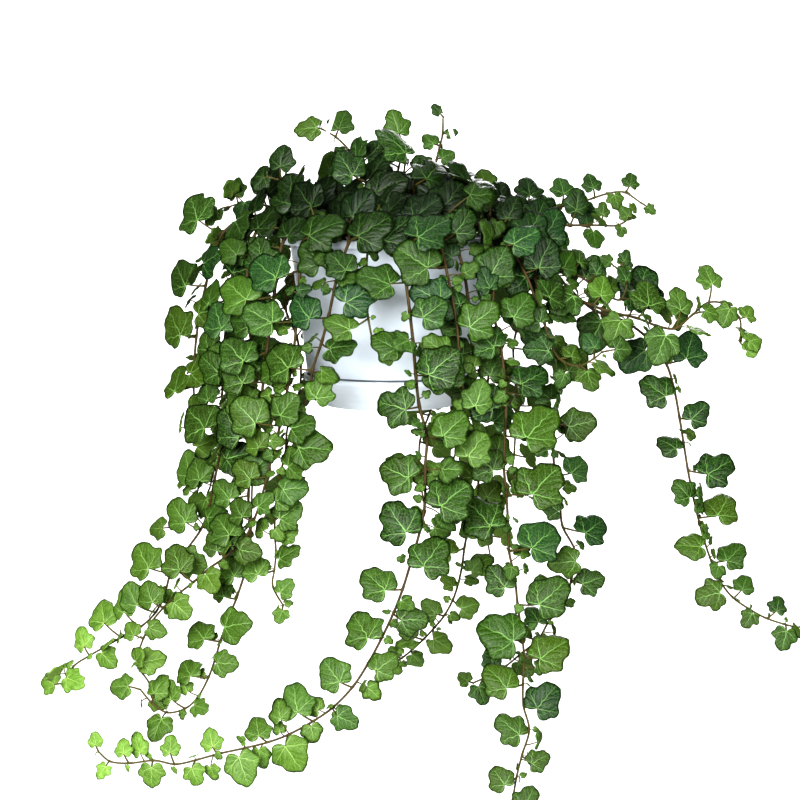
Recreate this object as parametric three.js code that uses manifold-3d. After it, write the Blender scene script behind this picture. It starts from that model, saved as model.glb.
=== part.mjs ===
// An English ivy in a white plastic hanging pot. The pot has a flanged rim and a clip-on saucer, and hangs
// from a moulded hook on three flat straps. Long leafy stems arch over the rim and trail below the pot.
// Millimetres, +Z up. The origin is the inner top of the hook, where it bears on what holds it up.
import * as THREE from "three";
import { mergeVertices } from "three/addons/utils/BufferGeometryUtils.js";
import Module from "manifold-3d";

const wasm = await Module();
wasm.setup();

// Driving dimensions
const CLEARANCE = 0.4; // between pieces that touch
const RIM_DROP = 312; // from the hook's inner top down to the top of the rim
const POT_RADIUS = 96; // outside of the wall at the rim
const RIM_RADIUS = 104; // outer edge of the flange
const RIM_DEPTH = 7; // how far the flange's edge turns down
const POT_WALL = 2;
const POT_DEPTH = 143; // rim to the underside of the pot's floor
const POT_TAPER = 0.13; // how much the wall's radius shrinks for each millimetre down
const DRAIN_HOLES = 6;
const DRAIN_RADIUS = 4;
const SAUCER_TOP = 132; // rim to the saucer's upper edge
const SAUCER_BASE = 161; // rim to the saucer's underside
const SAUCER_FLOOR_RADIUS = 63;
const GROOVE_DEPTH = 1; // of the groove round the pot above the saucer's lip, seen as a dark line
const GROOVE_HEIGHT = 1.8;
const SOIL_TOP = 12; // rim to the soil
const STRAP_COUNT = 3;
const STRAP_WIDTH = 6;
const STRAP_THICKNESS = 1.8;
const STRAP_FOOT_RADIUS = 99.4; // from the axis to the straps' slots in the flange
const STRAP_HEAD_RADIUS = 9; // from the axis to the straps' slots in the hub
const BARB = 1.4; // how far a strap's head and foot stand out past their slots
const HUB_DROP = 46; // from the hook's inner top to the top of the hub
const HUB_RADIUS = 14;
const HUB_DEPTH = 5;
const HOOK_INNER_RADIUS = 12;
const HOOK_WIRE_RADIUS = 3;
const ROUND_SIDES = 24; // sides of the pot and what is round with it

const WHITE = 0xe9edf0;
const SOIL_BROWN = 0x2e2018;
const LEAF_GREEN = 0x2f6a24;
const YOUNG_GREEN = 0x6f9a35;

const plastic = new THREE.MeshStandardMaterial({ color: WHITE, roughness: 0.35 });
const peat = new THREE.MeshStandardMaterial({ color: SOIL_BROWN, roughness: 0.95 });
const leafy = new THREE.MeshStandardMaterial({ color: LEAF_GREEN, roughness: 0.4 });
const young = new THREE.MeshStandardMaterial({ color: YOUNG_GREEN, roughness: 0.45 });

const ivy = new THREE.Group();
ivy.position.z = -RIM_DROP; // everything below is measured from the middle of the rim's top

// Solids and meshes

function solidOf(geometry) {
  const bare = geometry.clone();
  bare.deleteAttribute("normal");
  bare.deleteAttribute("uv");
  const merged = mergeVertices(bare, 1e-4);
  return solidFrom(merged.attributes.position.array, merged.index.array);
}

function solidFrom(vertices, triangles) {
  return new wasm.Manifold(
    new wasm.Mesh({
      numProp: 3,
      vertProperties: new Float32Array(vertices),
      triVerts: new Uint32Array(triangles),
    }),
  );
}

function geometryOf(solid) {
  const mesh = solid.getMesh();
  const geometry = new THREE.BufferGeometry();
  geometry.setAttribute("position", new THREE.BufferAttribute(mesh.vertProperties, 3));
  geometry.setIndex(new THREE.BufferAttribute(mesh.triVerts, 1));
  geometry.computeVertexNormals();
  return geometry;
}

function addPiece(name, geometry, material) {
  const mesh = new THREE.Mesh(geometry, material);
  mesh.name = name;
  ivy.add(mesh);
}

// A solid turned about the pot's axis from [radius, height] pairs, anticlockwise in the radius-height plane.
function turned(profile, sides = ROUND_SIDES) {
  const points = profile.map(([radius, height]) => new THREE.Vector2(radius, height));
  return new THREE.LatheGeometry([...points, points[0]], sides).rotateX(Math.PI / 2);
}

function boxAt(width, depth, height, x, y, z, turn = 0) {
  return new THREE.BoxGeometry(width, depth, height).translate(x, y, z).rotateZ(turn);
}

const strapTurns = Array.from(
  { length: STRAP_COUNT },
  (_, k) => Math.PI / 2 + (k * 2 * Math.PI) / STRAP_COUNT,
);

// The pot: a tapered cup whose flange has a slot for each strap, with a bead that the saucer clips over.
function potSolid() {
  const wallAt = (drop) => POT_RADIUS - POT_TAPER * drop;
  const bead = SAUCER_TOP + 4;
  const rimWall = 1.8;
  const profile = [
    [0, -POT_DEPTH],
    [wallAt(POT_DEPTH) - 3, -POT_DEPTH],
    [wallAt(bead + 2), -bead - 2],
    [wallAt(bead) + 1.1, -bead],
    [wallAt(bead - 1.5), 1.5 - bead],
    [wallAt(SAUCER_TOP), -SAUCER_TOP],
    [wallAt(SAUCER_TOP) - GROOVE_DEPTH, -SAUCER_TOP],
    [wallAt(SAUCER_TOP) - GROOVE_DEPTH, GROOVE_HEIGHT - SAUCER_TOP],
    [wallAt(SAUCER_TOP - GROOVE_HEIGHT), GROOVE_HEIGHT - SAUCER_TOP],
    [wallAt(2.4), -2.4],
    [RIM_RADIUS - rimWall, -2.4],
    [RIM_RADIUS - rimWall, -RIM_DEPTH],
    [RIM_RADIUS, -RIM_DEPTH],
    [RIM_RADIUS, -1],
    [RIM_RADIUS - 1, 0],
    [wallAt(0) - POT_WALL, 0],
    [wallAt(POT_DEPTH) - POT_WALL, 3 - POT_DEPTH],
    [0, 3 - POT_DEPTH],
  ];
  let pot = solidOf(turned(profile));
  for (const turn of strapTurns) {
    const slot = boxAt(
      STRAP_THICKNESS + 2 * CLEARANCE,
      STRAP_WIDTH + 2 * CLEARANCE,
      12,
      STRAP_FOOT_RADIUS,
      0,
      0,
      turn,
    );
    pot = pot.subtract(solidOf(slot));
  }
  for (let k = 0; k < DRAIN_HOLES; k++) {
    const hole = new THREE.CylinderGeometry(DRAIN_RADIUS, DRAIN_RADIUS, 12, 5)
      .rotateX(Math.PI / 2)
      .translate(POT_RADIUS / 2, 0, -POT_DEPTH)
      .rotateZ((k * 2 * Math.PI) / DRAIN_HOLES);
    pot = pot.subtract(solidOf(hole));
  }
  return pot;
}

// The saucer: a shallow dish whose lip snaps over the pot's bead.
function saucerSolid() {
  const wallAt = (drop) => POT_RADIUS - POT_TAPER * drop;
  const lip = wallAt(SAUCER_TOP);
  const profile = [
    [0, -SAUCER_BASE],
    [SAUCER_FLOOR_RADIUS, -SAUCER_BASE],
    [lip + 2.6, -SAUCER_TOP - 5],
    [lip + 3.4, -SAUCER_TOP - 4],
    [lip + 3.4, -SAUCER_TOP],
    [lip + CLEARANCE + 0.2, -SAUCER_TOP],
    [lip + CLEARANCE, -SAUCER_TOP - 1.6],
    [lip + CLEARANCE + 1.1, -SAUCER_TOP - 3],
    [lip + CLEARANCE + 1.1, -SAUCER_TOP - 5.5],
    [SAUCER_FLOOR_RADIUS - 1, 2 - SAUCER_BASE],
    [0, 2 - SAUCER_BASE],
  ];
  return solidOf(turned(profile));
}

// The hook: a round hub with a slot for each strap, and a bent hook that rises from it over the axis.
function hookSolid() {
  const hubTop = RIM_DROP - HUB_DROP;
  const bend = HOOK_INNER_RADIUS + HOOK_WIRE_RADIUS;
  const top = RIM_DROP - HOOK_INNER_RADIUS; // height of the bend's middle
  const route = [new THREE.Vector3(0, 0, hubTop - HUB_DEPTH / 2), new THREE.Vector3(0, 0, hubTop + 6)];
  const arcStart = -0.38 * Math.PI;
  const arcEnd = 1.05 * Math.PI;
  for (let k = 0; k <= 8; k++) {
    const angle = arcStart + ((arcEnd - arcStart) * k) / 8;
    route.push(new THREE.Vector3(bend * Math.cos(angle), 0, top + bend * Math.sin(angle)));
  }
  const section = new THREE.Shape();
  section.absarc(0, 0, HOOK_WIRE_RADIUS, 0, 2 * Math.PI);
  const wire = new THREE.ExtrudeGeometry(section, {
    steps: 16,
    curveSegments: 4,
    extrudePath: new THREE.CatmullRomCurve3(route),
  });
  const hub = new THREE.CylinderGeometry(HUB_RADIUS, HUB_RADIUS, HUB_DEPTH, 18)
    .rotateX(Math.PI / 2)
    .translate(0, 0, hubTop - HUB_DEPTH / 2);
  let hook = solidOf(hub).add(solidOf(wire));
  for (const turn of strapTurns) {
    const slot = boxAt(
      STRAP_THICKNESS + 2 * CLEARANCE,
      STRAP_WIDTH + 2 * CLEARANCE,
      4 * HUB_DEPTH,
      STRAP_HEAD_RADIUS,
      0,
      hubTop - HUB_DEPTH / 2,
      turn,
    );
    hook = hook.subtract(solidOf(slot));
  }
  return hook;
}

// A strap: a flat band whose barbed head sits on the hub and whose barbed foot hooks under the flange.
function strapGeometry(turn) {
  const half = STRAP_THICKNESS / 2;
  const hubTop = RIM_DROP - HUB_DROP;
  const head = STRAP_HEAD_RADIUS;
  const foot = STRAP_FOOT_RADIUS;
  const bendTop = hubTop - HUB_DEPTH - 3;
  const bendFoot = 6;
  const flangeUnder = -2.4 - CLEARANCE;
  const outline = [
    [head + half, hubTop + CLEARANCE],
    [head + half, bendTop + 1],
    [foot + half, bendFoot],
    [foot + half, flangeUnder],
    [foot + half + BARB * 0.6, flangeUnder],
    [foot, flangeUnder - 3.5],
    [foot - half - BARB, flangeUnder],
    [foot - half, flangeUnder],
    [foot - half, bendFoot],
    [head - half, bendTop],
    [head - half, hubTop + CLEARANCE],
    [head - half - BARB * 0.6, hubTop + CLEARANCE],
    [head - half, hubTop + 3],
    [head + half, hubTop + 3],
    [head + half + BARB, hubTop + CLEARANCE],
  ];
  const shape = new THREE.Shape(outline.map(([r, z]) => new THREE.Vector2(r, z)));
  return new THREE.ExtrudeGeometry(shape, { depth: STRAP_WIDTH, bevelEnabled: false })
    .rotateX(Math.PI / 2)
    .translate(0, STRAP_WIDTH / 2, 0)
    .rotateZ(turn);
}

// The plant

// Seeded random numbers from 0 to 1.
function randomFrom(seed) {
  let state = seed >>> 0;
  return () => {
    state = (state + 0x6d2b79f5) >>> 0;
    let t = state;
    t = Math.imul(t ^ (t >>> 15), t | 1);
    t ^= t + Math.imul(t ^ (t >>> 7), t | 61);
    return ((t ^ (t >>> 14)) >>> 0) / 4294967296;
  };
}

const UP = new THREE.Vector3(0, 0, 1);
const STEM_RADIUS = 1.7; // at the soil
const TIP_RADIUS = 0.9;
const ROOT_DEPTH = 20; // how deep a stem stands in the soil
const HOLE_RADIUS = STEM_RADIUS + 0.8; // of the three-sided hole that a stem stands in
const LEAF_THICKNESS = 2; // at the middle; a blade thins to its edge
const LEAF_GAP = 0.5; // kept between a new leaf and what is already there
const STALK_ROOM = 1.9; // half of the width that is kept clear along a stalk
const TRIES = 14; // ways that a leaf is bent before its place is left bare

// Half of a leaf's outline, [across, along] in shares of its length: the stalk's side, the lobe at the
// base, the lower bay, the side lobe and the upper bay. The tip is on the middle line.
const HALF_OUTLINE = [
  [0.035, 0.03],
  [0.35, -0.13],
  [0.45, 0.09],
  [0.57, 0.34],
  [0.38, 0.57],
];
const SMALL_OUTLINE = HALF_OUTLINE.filter((_, k) => k !== 2); // a small leaf has no lower bay
const SMALL_LEAF = 30; // leaves shorter than this have the small outline
const LEAF_TIP = 0.95;
const LEAF_HUB = 0.2; // where the veins part, along the middle line

// Stems traced from the photograph. Each route is [right, back, up] from the middle of the rim's top, from
// the soil to the tip. face is the way that the leaves look, in degrees from the right as seen from above.
// leaf is the length of the first, the middle and the last leaves. step is the space between leaves.
const FRONT = -90;
const stems = [
  {
    name: "vine_left_front",
    face: -110,
    leaf: [35, 37, 19],
    step: 25,
    route: [
      [-30, -58], [-34, -77, 10], [-38, -98, 10], [-37, -118, -2], [-46, -126, -24], [-50, -128, -44],
      [-60, -126, -86], [-68, -125, -108], [-75, -122, -144], [-87, -120, -164], [-97, -115, -200],
      [-104, -110, -238], [-106, -105, -270], [-105, -102, -292], [-108, -100, -322], [-99, -98, -338],
    ],
  },
  {
    name: "vine_left_long",
    face: -120,
    leaf: [37, 33, 25],
    step: 29,
    route: [
      [-62, -16], [-80, -22, 14], [-100, -30, 16], [-121, -40, 10], [-130, -50, -12], [-134, -58, -52],
      [-137, -62, -94], [-146, -62, -144], [-156, -60, -188], [-165, -58, -228], [-175, -55, -268],
      [-192, -52, -294], [-207, -50, -316], [-217, -45, -346], [-231, -40, -366], [-256, -35, -382],
      [-291, -25, -404], [-307, -20, -416], [-316, -15, -432],
    ],
  },
  {
    name: "vine_left_curled",
    face: -115,
    leaf: [37, 33, 21],
    step: 27,
    route: [
      [-52, -40], [-67, -57, 12], [-84, -72, 14], [-97, -86, 0], [-104, -95, -40], [-112, -98, -98],
      [-118, -98, -146], [-125, -95, -192], [-131, -92, -240], [-129, -90, -278], [-133, -88, -302],
      [-146, -85, -342], [-154, -84, -360], [-160, -83, -380], [-170, -80, -410], [-184, -78, -434],
      [-205, -74, -447], [-225, -70, -438], [-236, -66, -426],
    ],
  },
  {
    name: "vine_left_crossing",
    face: -110,
    leaf: [35, 33, 19],
    step: 25,
    route: [
      [-42, -54], [-55, -72, 12], [-69, -88, 14], [-78, -103, 0], [-82, -112, -44], [-87, -115, -98],
      [-97, -115, -154], [-110, -112, -206], [-124, -108, -254], [-140, -104, -282], [-162, -98, -299],
      [-183, -90, -318], [-206, -82, -338], [-223, -76, -358], [-235, -70, -384], [-238, -66, -402],
      [-229, -62, -418], [-227, -58, -432],
    ],
  },
  {
    name: "vine_left_outer",
    face: -140,
    leaf: [39, 39, 25],
    step: 29,
    route: [
      [-66, 6], [-86, 9, 14], [-106, 12, 18], [-138, 16, 16], [-161, 18, 0], [-176, 20, -44],
      [-186, 20, -92], [-190, 18, -146], [-187, 14, -188], [-184, 10, -232], [-191, 6, -262],
      [-208, 2, -282],
    ],
  },
  {
    name: "vine_left_middle",
    face: -130,
    leaf: [38, 36, 26],
    step: 27,
    route: [
      [-60, -4], [-82, -7, 13], [-105, -9, 16], [-128, -14, 8], [-145, -18, -20], [-152, -20, -60],
      [-158, -20, -110], [-160, -22, -160], [-164, -24, -205], [-172, -24, -240],
    ],
  },
  {
    name: "vine_front_trailing",
    face: -97,
    leaf: [38, 36, 16],
    step: 29,
    route: [
      [4, -62], [6, -78, 10], [8, -96, 12], [12, -122, 2], [14, -140, -24], [18, -147, -58],
      [22, -150, -94], [26, -150, -140], [34, -151, -176], [32, -152, -202], [32, -154, -232],
      [28, -156, -256], [20, -158, -284], [10, -160, -316], [0, -162, -340], [-22, -165, -382],
      [-43, -168, -410], [-78, -170, -435], [-107, -170, -448], [-156, -170, -460], [-195, -168, -470],
      [-213, -166, -467], [-250, -164, -470], [-264, -162, -460],
    ],
  },
  {
    name: "vine_front_slender",
    face: -80,
    leaf: [33, 25, 16],
    step: 22,
    route: [
      [30, -57], [38, -73, 12], [47, -88, 14], [57, -106, 4], [68, -116, -30], [74, -114, -82],
      [79, -108, -136], [82, -102, -184], [82, -96, -224], [76, -90, -254], [70, -84, -284],
      [66, -78, -314], [56, -70, -346], [41, -64, -368], [29, -58, -382], [14, -51, -397],
      [-3, -45, -410],
    ],
  },
  {
    name: "vine_front_right",
    face: -85,
    leaf: [37, 38, 24],
    step: 30,
    route: [
      [46, -50], [61, -67, 14], [75, -81, 16], [88, -96, 8], [94, -110, -12], [95, -117, -34],
      [94, -120, -68], [100, -122, -88], [104, -123, -118], [106, -124, -152], [104, -126, -204],
      [108, -126, -244], [108, -126, -274], [114, -126, -302], [117, -126, -328], [122, -126, -364],
      [124, -126, -392], [122, -126, -420], [129, -126, -446], [124, -126, -466], [117, -126, -496],
      [112, -126, -524], [104, -124, -552],
    ],
  },
  {
    name: "vine_right_kinked",
    face: -75,
    leaf: [35, 28, 18],
    step: 29,
    route: [
      [60, -38], [80, -59, 9], [103, -67, 7], [120, -71, -8], [135, -76, -38], [142, -79, -74],
      [149, -80, -104], [156, -80, -148], [152, -80, -176], [153, -80, -212], [158, -80, -242],
      [163, -82, -274], [174, -84, -294], [169, -84, -318], [165, -82, -336], [152, -80, -352],
      [143, -76, -371], [125, -71, -389], [104, -66, -407], [79, -60, -421],
    ],
  },
  {
    name: "vine_right_far",
    face: -80,
    leaf: [34, 33, 20],
    step: 29,
    route: [
      [66, -4], [86, -9, 15], [110, -14, 8], [142, -20, -18], [174, -24, -54], [190, -25, -68],
      [206, -26, -72], [228, -26, -84], [248, -26, -100], [259, -26, -116], [269, -26, -132],
      [270, -26, -148], [276, -26, -176], [282, -26, -212], [288, -25, -242], [295, -24, -270],
      [306, -22, -306], [323, -20, -340], [342, -18, -356], [367, -15, -370], [394, -12, -378],
    ],
  },
  {
    name: "vine_right_raised",
    face: -70,
    leaf: [35, 32, 21],
    step: 25,
    route: [
      [64, -20], [83, -29, 14], [106, -39, 5], [140, -52, -26], [172, -60, -54], [206, -61, -68],
      [234, -58, -75], [258, -54, -84], [275, -50, -82], [285, -46, -70], [298, -42, -61],
      [318, -38, -64], [331, -34, -80], [330, -30, -98],
    ],
  },
  {
    name: "shoot_right_upper",
    face: -75,
    leaf: [30, 23, 14],
    step: 20,
    route: [
      [50, 16], [62, 18, 12], [78, 21, 18], [104, 28, 22], [132, 33, 22], [156, 37, 24], [182, 40, 29],
      [204, 42, 36], [224, 44, 40], [243, 46, 29],
    ],
  },
  {
    name: "shoot_right_middle",
    face: -65,
    leaf: [30, 23, 12],
    step: 20,
    route: [
      [56, 2], [70, 2, 10], [90, 3, 14], [124, 8, 10], [162, 10, 9], [188, 12, 9], [210, 14, 9],
      [227, 16, 10], [229, 17, 22],
    ],
  },
  {
    name: "shoot_right_curled",
    face: -60,
    leaf: [33, 26, 12],
    step: 22,
    route: [
      [54, -12], [80, -19, 22], [108, -25, 8], [146, -36, -20], [174, -41, -34], [196, -44, -48],
      [212, -44, -60], [221, -44, -50], [219, -44, -36], [209, -44, -26],
    ],
  },
  {
    name: "shoot_right_low",
    face: -70,
    leaf: [35, 30, 18],
    step: 25,
    route: [
      [50, -46], [70, -65, 18], [95, -81, 12], [121, -99, -24], [136, -106, -60], [148, -108, -94],
      [161, -104, -113], [178, -100, -113], [195, -95, -102],
    ],
  },
  {
    name: "vine_front_short",
    face: -82,
    leaf: [39, 40, 26],
    step: 28,
    route: [
      [17, -60], [25, -77, 13], [33, -95, 14], [44, -118, 3], [52, -133, -28], [60, -138, -68],
      [64, -140, -110], [67, -140, -142], [64, -140, -174], [56, -140, -200],
    ],
  },
  {
    name: "vine_front_pot",
    face: -98,
    leaf: [39, 39, 30],
    step: 28,
    route: [
      [-10, -60], [-12, -78, 13], [-14, -96, 13], [-18, -121, 2], [-21, -138, -28], [-20, -144, -58],
      [-14, -146, -92],
    ],
  },
  {
    name: "shoot_top_right",
    face: -90,
    leaf: [30, 23, 11],
    step: 15,
    route: [
      [32, -6], [36, -6, 14], [38, -8, 38], [41, -10, 58], [46, -12, 80], [50, -14, 98], [50, -16, 112],
    ],
  },
  {
    name: "shoot_top_left",
    face: -100,
    leaf: [30, 26, 22],
    step: 22,
    route: [
      [-2, 18], [-6, 18, 14], [-18, 15, 38], [-28, 10, 62], [-37, 5, 78], [-50, 0, 92], [-63, -5, 100],
    ],
  },
  {
    name: "shoot_left_upper",
    face: -110,
    leaf: [27, 25, 21],
    step: 18,
    route: [
      [-30, -8], [-44, -11, 14], [-67, -17, 26], [-82, -22, 36], [-91, -26, 46], [-101, -28, 52],
      [-113, -30, 56],
    ],
  },
  {
    name: "shoot_left_low",
    face: -120,
    leaf: [30, 25, 18],
    step: 17,
    route: [[-42, 24], [-58, 30, 12], [-96, 40, 21], [-124, 44, 27], [-140, 46, 29], [-157, 46, 25]],
  },
  {
    name: "shoot_top_back",
    face: -90,
    leaf: [32, 30, 26],
    step: 20,
    route: [[6, 40], [4, 43, 16], [6, 42, 42], [8, 38, 62], [14, 34, 82]],
  },
];

// Stems at the back, which the photograph doesn't show: [compass angle, how far the tip hangs below the rim].
const HIDDEN_VINES = [
  [26, 260], [50, 330], [74, 290], [108, 150], [134, 280], [166, 310],
];
for (const [angle, drop] of HIDDEN_VINES) {
  const random = randomFrom(angle);
  const at = (radius, height) => {
    const sway = ((random() - 0.5) * 26) / radius;
    const turn = (angle * Math.PI) / 180 + (height < 0 ? sway : 0);
    return [radius * Math.cos(turn), radius * Math.sin(turn), height];
  };
  const route = [at(62).slice(0, 2), at(80, 13), at(98, 16), at(122, 6), at(136, -24)];
  for (let height = -70; height > -drop; height -= 46) route.push(at(142, height));
  route.push(at(146, -drop));
  stems.push({ name: `vine_back_${angle}`, leaf: [39, 38, 28], step: 34, route });
}

// Short shoots that fill the crown: [right, back] where each stands and [right, back, up] of its tip.
const TUFTS = [
  [[-14, -34], [-22, -62, 52]],
  [[18, -36], [24, -66, 50]],
  [[-38, -28], [-50, -22, 42]],
  [[42, -26], [70, -44, 46]],
  [[-16, -6], [-20, -14, 64]],
  [[10, 6], [14, -4, 66]],
  [[-48, 6], [-78, 2, 46]],
  [[36, 24], [62, 44, 48]],
  [[-25, 43], [-42, 70, 45]],
  [[0, 58], [14, 80, 42]],
];
TUFTS.forEach(([foot, tip], k) => {
  const middle = [foot[0] * 0.7 + tip[0] * 0.3, foot[1] * 0.7 + tip[1] * 0.3, tip[2] * 0.5];
  const face = (Math.atan2(tip[1] - 10, tip[0]) * 180) / Math.PI;
  stems.push({ name: `tuft_${k + 1}`, face, leaf: [33, 37, 33], step: 18, route: [foot, middle, tip] });
});

// The places along a stem where leaves stand, from its foot in the soil to its tip, with the stem's corners.
function ringsOf(stem, random) {
  const [foot, ...rest] = stem.route;
  const under = [ROOT_DEPTH, ROOT_DEPTH / 2, -2].map((depth) => [...foot.slice(0, 2), -SOIL_TOP - depth]);
  const points = [...under, ...rest].map((p) => new THREE.Vector3(...p));
  const curve = new THREE.CatmullRomCurve3(points, false, "centripetal");
  const length = curve.getLength();
  const rings = [];
  let along = 0;
  while (along < length - 6) {
    const share = along / length;
    rings.push({ share, leafy: rings.length > 1 });
    if (rings.length === 1) along = ROOT_DEPTH + 1;
    else along += stem.step * (1 - 0.35 * share * share) * (0.88 + 0.24 * random());
  }
  rings.push({ share: 1, leafy: true });
  let side = new THREE.Vector3(1, 0, 0);
  for (const ring of rings) {
    ring.centre = curve.getPointAt(ring.share);
    ring.tangent = curve.getTangentAt(ring.share);
    side = side.clone().addScaledVector(ring.tangent, -side.dot(ring.tangent)).normalize();
    const across = new THREE.Vector3().crossVectors(ring.tangent, side);
    const radius = STEM_RADIUS + (TIP_RADIUS - STEM_RADIUS) * ring.share;
    ring.corners = [0, 1, 2].map((k) => {
      const turn = (k * 2 * Math.PI) / 3;
      return ring.centre
        .clone()
        .addScaledVector(side, radius * Math.cos(turn))
        .addScaledVector(across, radius * Math.sin(turn));
    });
  }
  return rings;
}

// The length of the leaf at a share of the way along a stem.
function leafLength(stem, share) {
  const [first, middle, last] = stem.leaf;
  return share < 0.5
    ? first + (middle - first) * share * 2
    : middle + (last - middle) * (share * 2 - 1) ** 1.5;
}

function middleOf(points) {
  const sum = points.reduce((total, p) => total.add(p), new THREE.Vector3());
  return sum.multiplyScalar(1 / points.length);
}

// The stem's triangle that a leaf's stalk grows from: two corners of its ring and a point a little further on.
function rootAt(rings, index, direction) {
  const ring = rings[index];
  if (index === rings.length - 1) return { side: -1, corners: ring.corners };
  const next = rings[index + 1];
  let side = 0;
  let best = -Infinity;
  for (let k = 0; k < 3; k++) {
    const outward = middleOf([ring.corners[k], ring.corners[(k + 1) % 3]]).sub(ring.centre);
    const turnedTo = outward.dot(direction);
    if (turnedTo > best) [best, side] = [turnedTo, k];
  }
  const a = ring.corners[side];
  const b = ring.corners[(side + 1) % 3];
  const far = middleOf([next.corners[side], next.corners[(side + 1) % 3]]);
  const near = middleOf([a, b]);
  const reach = Math.min(0.4, 3.5 / far.distanceTo(near));
  return { side, corners: [a, b, near.lerp(far, reach)] };
}

// A leaf's corners: its outline from the right of the stalk to the left, then its upper and its lower middle.
function bladeAt(base, forward, normal, length, form) {
  const right = new THREE.Vector3().crossVectors(forward, normal);
  const place = (across, along, lift) => {
    const sag = form.droop * (0.9 * across * across + 0.5 * (along - LEAF_HUB) ** 2);
    return base
      .clone()
      .addScaledVector(right, across * form.width * length)
      .addScaledVector(forward, along * length)
      .addScaledVector(normal, lift - sag * length);
  };
  const outline = length < SMALL_LEAF ? SMALL_OUTLINE : HALF_OUTLINE;
  const rightHalf = outline.map(([across, along]) => place(across, along, 0));
  const leftHalf = outline.map(([across, along]) => place(-across, along, 0)).reverse();
  const thick = (LEAF_THICKNESS / 2) * Math.min(1, 0.4 + length / 60);
  const middles = [place(0, LEAF_HUB, thick), place(0, LEAF_HUB, -thick)];
  return [...rightHalf, place(0, LEAF_TIP, 0), ...leftHalf, ...middles];
}

// A leaf's faces as triples of its own corners and, numbered after them, the three corners of its root.
function leafFaces(corners, root) {
  const faces = [];
  const around = corners.length - 2;
  const top = around;
  const under = around + 1;
  for (let k = 0; k < around; k++) {
    const next = (k + 1) % around;
    faces.push([top, k, next]);
    if (next !== 0) faces.push([under, next, k]);
  }
  const end = [under, around - 1, 0]; // the stalk joins the blade between these three corners
  let order = null;
  let least = Infinity;
  for (let turn = 0; turn < 3; turn++) {
    const trial = [0, 1, 2].map((k) => end[(k + turn) % 3]);
    const total = trial.reduce((sum, corner, k) => sum + corners[corner].distanceTo(root[k]), 0);
    if (total < least) [least, order] = [total, trial];
  }
  for (let k = 0; k < 3; k++) {
    const next = (k + 1) % 3;
    faces.push([under + 1 + k, under + 1 + next, order[next]], [under + 1 + k, order[next], order[k]]);
  }
  return faces;
}

// Solids that a new leaf has to keep clear of, each with its box.
const taken = [];

function take(solid, owner = null) {
  taken.push({ solid, box: solid.boundingBox(), owner });
}

function isClear(solid, owner = null) {
  const box = solid.boundingBox();
  return !taken.some((other) => {
    if (other.owner && other.owner === owner) return false;
    for (let k = 0; k < 3; k++)
      if (box.min[k] > other.box.max[k] || box.max[k] < other.box.min[k]) return false;
    const shared = solid.intersect(other.solid);
    const empty = shared.isEmpty();
    shared.delete();
    return !empty;
  });
}

const flat = (points) => points.flatMap((p) => [p.x, p.y, p.z]);

// A blade swollen by LEAF_GAP all round, to test that the leaf is clear.
function swollenBlade(corners, normal) {
  const n = corners.length - 2;
  const hub = middleOf(corners.slice(n));
  const half = LEAF_THICKNESS / 2 + LEAF_GAP;
  const ring = (lift) =>
    corners.slice(0, n).map((p) => {
      const outward = p.clone().sub(hub);
      return p.clone().addScaledVector(outward.normalize(), LEAF_GAP).addScaledVector(normal, lift);
    });
  const points = [
    ...ring(LEAF_GAP),
    ...ring(-LEAF_GAP),
    hub.clone().addScaledVector(normal, half),
    hub.clone().addScaledVector(normal, -half),
  ];
  const faces = [];
  for (let k = 0; k < n; k++) {
    const next = (k + 1) % n;
    faces.push(2 * n, k, next, 2 * n + 1, n + next, n + k);
    faces.push(k, n + k, n + next, k, n + next, next);
  }
  return solidFrom(flat(points), faces);
}

// A stalk swollen by LEAF_GAP, from just off the stem to the blade.
function swollenStalk(root, base) {
  const middle = middleOf(root);
  const along = base.clone().sub(middle).normalize();
  const other = Math.abs(along.z) < 0.9 ? UP : new THREE.Vector3(1, 0, 0);
  const side = new THREE.Vector3().crossVectors(along, other).normalize();
  const across = new THREE.Vector3().crossVectors(along, side);
  const points = [];
  for (const centre of [middle.clone().addScaledVector(along, 2.5), base]) {
    for (let k = 0; k < 4; k++) {
      const turn = (k * Math.PI) / 2;
      points.push(
        centre
          .clone()
          .addScaledVector(side, STALK_ROOM * Math.cos(turn))
          .addScaledVector(across, STALK_ROOM * Math.sin(turn)),
      );
    }
  }
  const faces = [0, 2, 1, 0, 3, 2, 4, 5, 6, 4, 6, 7];
  for (let k = 0; k < 4; k++) {
    const next = (k + 1) % 4;
    faces.push(k, next, 4 + next, k, 4 + next, 4 + k);
  }
  return solidFrom(flat(points), faces);
}

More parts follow.
